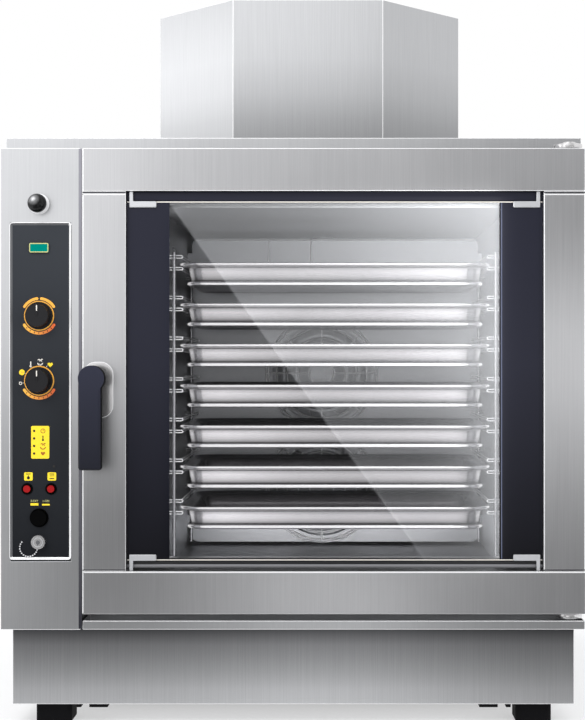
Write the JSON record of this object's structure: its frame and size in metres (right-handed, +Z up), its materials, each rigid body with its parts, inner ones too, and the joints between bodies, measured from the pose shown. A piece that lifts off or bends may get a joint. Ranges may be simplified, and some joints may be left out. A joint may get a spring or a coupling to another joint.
{
  "type": "combi oven",
  "caption": "Countertop-height gas combi steam oven with a glazed side-hinged door, tray racks, fans behind a baffle, a control column and a bevelled flue chimney.",
  "frame": {"origin": "on the floor, under the middle of the oven's bounding box", "axes": "+Z up, -Y out of the door, +X to the right as seen from the front"},
  "size_m": [0.93, 0.942, 1.279],
  "materials": {
    "casing_steel": "brushed stainless sheet",
    "door_steel": "brushed stainless, grain upright",
    "cavity_steel": "satin stainless",
    "wire_steel": "polished stainless wire",
    "tray_steel": "bright stainless",
    "inner_steel": "plain stainless",
    "foot_black": "black",
    "window_glass": "clear tempered glass with dark printed sides",
    "seal_rubber": "black silicone",
    "wool": "mineral wool",
    "handle_dark": "dark blue-black, satin",
    "bright_steel": "polished",
    "fascia_black": "satin black with printed marks",
    "lens_green": "green lens",
    "knob_black": "black, satin",
    "button_red": "red, glossy",
    "ball_black": "black, glossy",
    "brass": "plain brass",
    "motor_grey": "grey enamel",
    "board_green": "circuit board"
  },
  "bodies": {
    "cabinet": {"base_plinth": "casing_steel", "left_side_panel": "casing_steel", "right_side_panel": "casing_steel", "rear_panel": "casing_steel", "top_cover": "casing_steel", "flue_chimney": "casing_steel", "control_column": "casing_steel", "front_drip_rail": "casing_steel", "cavity_front_frame": "casing_steel", "hinge_brackets": "door_steel", "cavity_liner": "cavity_steel", "fan_baffle": "cavity_steel", "rack_left": "wire_steel", "rack_right": "wire_steel", "heat_exchanger": "inner_steel", "flue_pipe": "inner_steel", "drain_pipe": "inner_steel", "vent_duct": "inner_steel", "door_striker": "inner_steel", "feet": "foot_black", "door_gasket": "seal_rubber", "insulation": "wool", "probe_chain": "bright_steel", "control_fascia": "fascia_black", "display_lens": "lens_green", "cable_gland": "knob_black", "water_valve": "brass", "probe_socket": "brass", "fan_motors": "motor_grey", "gas_burner": "motor_grey", "control_board": "board_green"},
    "door": {"door_top_rail": "door_steel", "door_bottom_rail": "door_steel", "door_left_stile": "door_steel", "door_right_stile": "door_steel", "door_inner_frame": "door_steel", "outer_glass": "window_glass", "inner_glass": "window_glass", "glass_clips": "bright_steel", "handle_escutcheon": "bright_steel", "hinge_bushes": "brass"},
    "handle": {"handle_lever": "handle_dark", "latch_cam": "inner_steel"},
    "fan_upper_wheel": {"fan_upper": "cavity_steel"},
    "fan_lower_wheel": {"fan_lower": "cavity_steel"},
    "regulator": {"regulator_knob": "knob_black"},
    "selector": {"selector_knob": "knob_black"},
    "left_push": {"left_button": "button_red"},
    "right_push": {"right_button": "button_red"},
    "power_push": {"power_button": "knob_black"},
    "vent_pull": {"vent_knob": "ball_black", "vent_rod": "inner_steel"},
    "probe_cover": {"probe_cap": "bright_steel"},
    "tray_1_pan": {"tray_1": "tray_steel"},
    "tray_2_pan": {"tray_2": "tray_steel"},
    "tray_3_pan": {"tray_3": "tray_steel"},
    "tray_4_pan": {"tray_4": "tray_steel"},
    "tray_5_pan": {"tray_5": "tray_steel"},
    "tray_6_pan": {"tray_6": "tray_steel"},
    "tray_7_pan": {"tray_7": "tray_steel"}
  },
  "joints": [
    {"name": "door_swing", "type": "hinge", "parent": "cabinet", "child": "door", "pos_m": [0.443, -0.394, 0.5535], "axis": [0, 0, 1], "range_deg": [0, 130]},
    {"name": "handle_turn", "type": "hinge", "parent": "door", "child": "handle", "pos_m": [-0.3127, -0.419, 0.558], "axis": [0, -1, 0], "range_deg": [0, 90]},
    {"name": "fan_upper_spin", "type": "hinge", "parent": "cabinet", "child": "fan_upper_wheel", "pos_m": [0.041, 0.192, 0.561], "axis": [0, 1, 0], "continuous": true},
    {"name": "fan_lower_spin", "type": "hinge", "parent": "cabinet", "child": "fan_lower_wheel", "pos_m": [0.041, 0.192, 0.339], "axis": [0, 1, 0], "continuous": true},
    {"name": "regulator_turn", "type": "hinge", "parent": "cabinet", "child": "regulator", "pos_m": [-0.4038, -0.427, 0.6574], "axis": [0, 1, 0], "range_deg": [-140, 140]},
    {"name": "selector_turn", "type": "hinge", "parent": "cabinet", "child": "selector", "pos_m": [-0.4038, -0.427, 0.554], "axis": [0, 1, 0], "range_deg": [-90, 40]},
    {"name": "left_press", "type": "slide", "parent": "cabinet", "child": "left_push", "axis": [0, 1, 0], "range_m": [0, 0.002], "stiffness_N_per_m": 400},
    {"name": "right_press", "type": "slide", "parent": "cabinet", "child": "right_push", "axis": [0, 1, 0], "range_m": [0, 0.002], "stiffness_N_per_m": 400},
    {"name": "power_press", "type": "slide", "parent": "cabinet", "child": "power_push", "axis": [0, 1, 0], "range_m": [0, 0.003], "stiffness_N_per_m": 400},
    {"name": "vent_slide", "type": "slide", "parent": "cabinet", "child": "vent_pull", "axis": [0, -1, 0], "range_m": [0, 0.03]},
    {"name": "probe_cover_turn", "type": "hinge", "parent": "cabinet", "child": "probe_cover", "pos_m": [-0.4038, -0.419, 0.298], "axis": [0, 1, 0], "range_deg": [0, 90]},
    {"name": "tray_1_slide", "type": "slide", "parent": "cabinet", "child": "tray_1_pan", "axis": [0, -1, 0], "range_m": [0, 0.1]},
    {"name": "tray_2_slide", "type": "slide", "parent": "cabinet", "child": "tray_2_pan", "axis": [0, -1, 0], "range_m": [0, 0.1]},
    {"name": "tray_3_slide", "type": "slide", "parent": "cabinet", "child": "tray_3_pan", "axis": [0, -1, 0], "range_m": [0, 0.1]},
    {"name": "tray_4_slide", "type": "slide", "parent": "cabinet", "child": "tray_4_pan", "axis": [0, -1, 0], "range_m": [0, 0.1]},
    {"name": "tray_5_slide", "type": "slide", "parent": "cabinet", "child": "tray_5_pan", "axis": [0, -1, 0], "range_m": [0, 0.1]},
    {"name": "tray_6_slide", "type": "slide", "parent": "cabinet", "child": "tray_6_pan", "axis": [0, -1, 0], "range_m": [0, 0.1]},
    {"name": "tray_7_slide", "type": "slide", "parent": "cabinet", "child": "tray_7_pan", "axis": [0, -1, 0], "range_m": [0, 0.1]}
  ]
}
